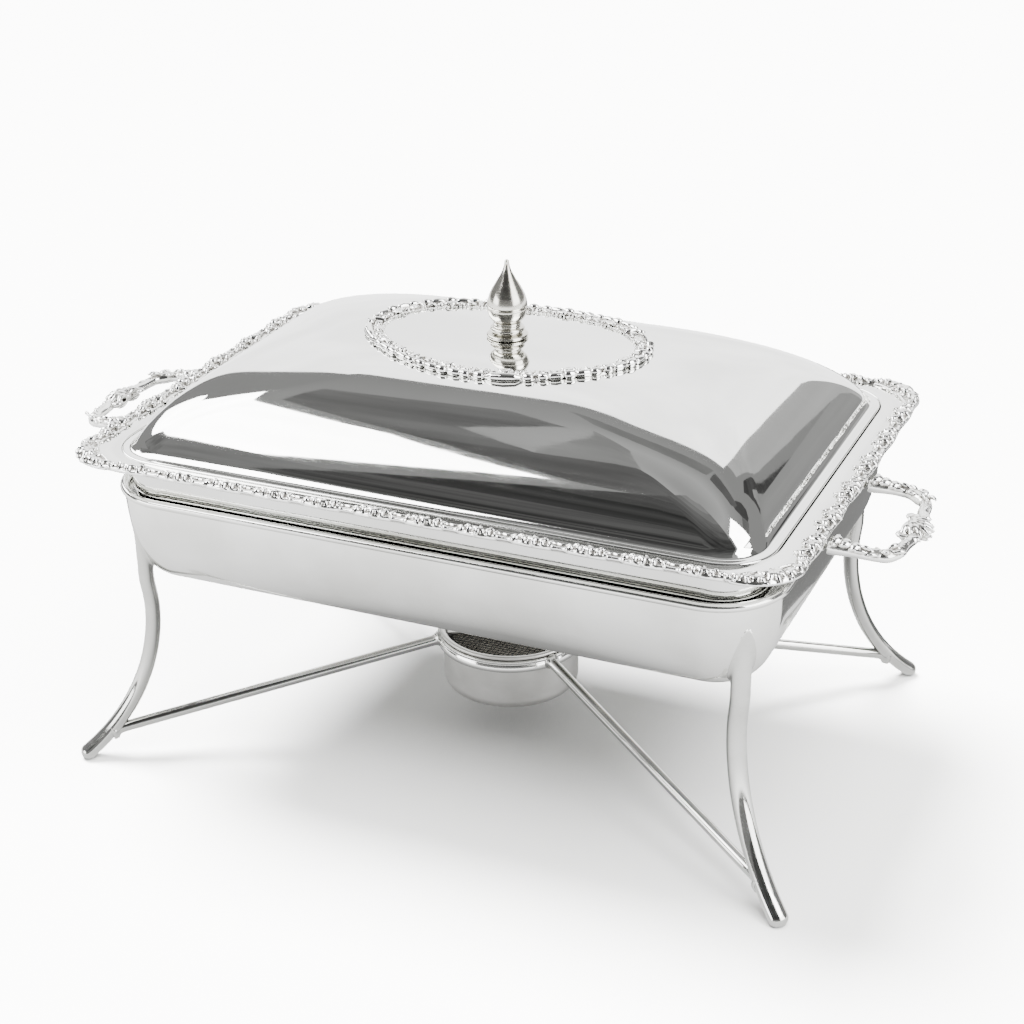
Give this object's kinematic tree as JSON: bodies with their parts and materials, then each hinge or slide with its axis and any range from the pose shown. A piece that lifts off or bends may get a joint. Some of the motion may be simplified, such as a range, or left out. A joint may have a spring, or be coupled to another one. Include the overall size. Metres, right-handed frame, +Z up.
{
  "type": "chafing dish",
  "caption": "Rectangular silver-plated buffet food warmer: domed cover with finial, bordered food pan with loop handles, water pan on curved legs, fuel burner in a ring.",
  "frame": {"origin": "on the table, under the middle of the water pan", "axes": "+Z up, +X along the long side from left to right, -Y towards the front"},
  "size_m": [0.514, 0.3004, 0.297],
  "materials": {
    "silver_stand": "polished silver plate",
    "silver_pan": "polished silver plate",
    "silver_cover": "mirror-polished silver plate",
    "silver_cast": "cast silver plate, bright on the high points",
    "nickel_finial": "turned and polished nickel plate",
    "fastener": "plain steel",
    "burner_steel": "spun satin steel",
    "wadding": "absorbent wadding",
    "screen_steel": "heat-darkened steel"
  },
  "bodies": {
    "stand": {"water_pan": "silver_stand", "water_pan_rim": "silver_stand", "leg_front_left": "silver_stand", "leg_front_right": "silver_stand", "leg_back_left": "silver_stand", "leg_back_right": "silver_stand", "stretcher_front_left": "silver_stand", "stretcher_front_right": "silver_stand", "stretcher_back_left": "silver_stand", "stretcher_back_right": "silver_stand", "burner_ring": "silver_stand"},
    "food_pan_body": {"food_pan": "silver_pan", "border_front": "silver_cast", "border_back": "silver_cast", "border_left": "silver_cast", "border_right": "silver_cast", "corner_mount_front_left": "silver_cast", "corner_mount_front_right": "silver_cast", "corner_mount_back_left": "silver_cast", "corner_mount_back_right": "silver_cast", "handle_left": "silver_cast", "handle_right": "silver_cast", "handle_lugs_left": "silver_cast", "handle_lugs_right": "silver_cast"},
    "cover": {"cover_shell": "silver_cover", "cover_ring": "silver_cast", "cover_ring_pegs": "silver_cast", "finial_collar": "nickel_finial", "finial_bulb": "nickel_finial", "finial_flame": "nickel_finial", "finial_stud": "fastener", "finial_washer": "fastener", "finial_nut": "fastener"},
    "burner": {"burner_cup": "burner_steel", "burner_wadding": "wadding"},
    "burner_screen": {"screen_frame": "screen_steel", "screen_gauze": "screen_steel", "screen_bar": "screen_steel"}
  },
  "joints": [
    {"name": "pan_lift", "type": "slide", "parent": "stand", "child": "food_pan_body", "axis": [0, 0, 1], "range_m": [0, 0.1]},
    {"name": "cover_lift", "type": "slide", "parent": "food_pan_body", "child": "cover", "axis": [0, 0, 1], "range_m": [0, 0.15]},
    {"name": "burner_lift", "type": "slide", "parent": "stand", "child": "burner", "axis": [0, 0, 1], "range_m": [0, 0.038]},
    {"name": "screen_lift", "type": "slide", "parent": "burner", "child": "burner_screen", "axis": [0, 0, 1], "range_m": [0, 0.014]}
  ]
}
